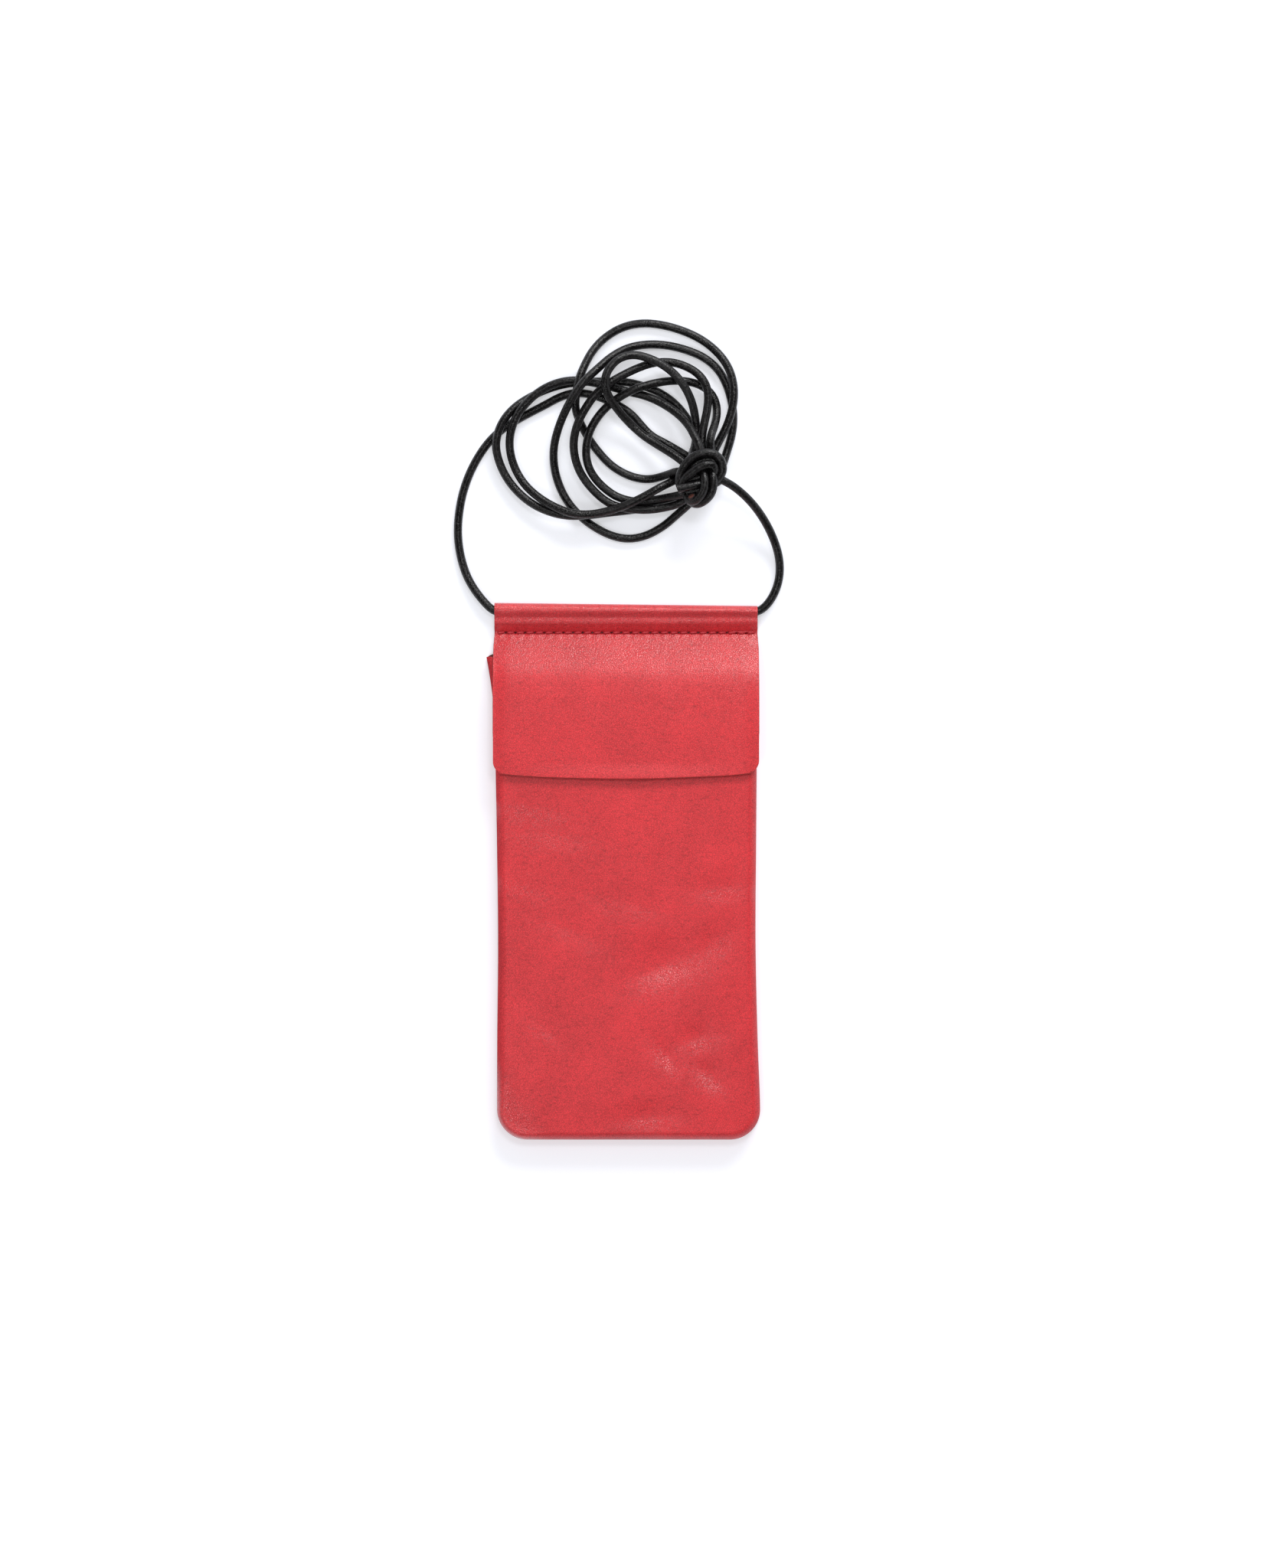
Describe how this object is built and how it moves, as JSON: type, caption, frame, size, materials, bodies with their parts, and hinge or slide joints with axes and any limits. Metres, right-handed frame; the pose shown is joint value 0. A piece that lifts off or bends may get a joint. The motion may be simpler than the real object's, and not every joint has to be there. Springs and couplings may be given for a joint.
{
  "type": "phone pouch",
  "caption": "Flat leather phone pouch with a fold-over flap and a sewn cord tunnel, on a long neck cord that is piled in loops and tied in a knot.",
  "frame": {"origin": "on the table under the middle of the pouch, measured without the neck cord", "axes": "+X across the pouch, +Y up the pouch towards the cord tunnel, +Z from the back to the front"},
  "size_m": [0.1185, 0.2949, 0.0223],
  "materials": {
    "red_leather": "soft pebbled grain, slight sheen",
    "red_thread": "matt",
    "black_cord": "satin"
  },
  "bodies": {
    "pouch": {"back_panel": "red_leather", "front_panel": "red_leather", "tunnel_needle_thread": "red_thread", "tunnel_bobbin_thread": "red_thread", "pocket_needle_thread": "red_thread", "pocket_bobbin_thread": "red_thread", "cord_in_tunnel": "black_cord", "cord_left_run": "black_cord", "cord_loops": "black_cord", "cord_right_run": "black_cord", "cord_knot": "black_cord"},
    "flap": {"flap": "red_leather"}
  },
  "joints": [
    {"name": "flap_hinge", "type": "hinge", "parent": "pouch", "child": "flap", "pos_m": [0, 0.0845, 0.0018], "axis": [-1, 0, 0], "range_deg": [0, 102]}
  ]
}
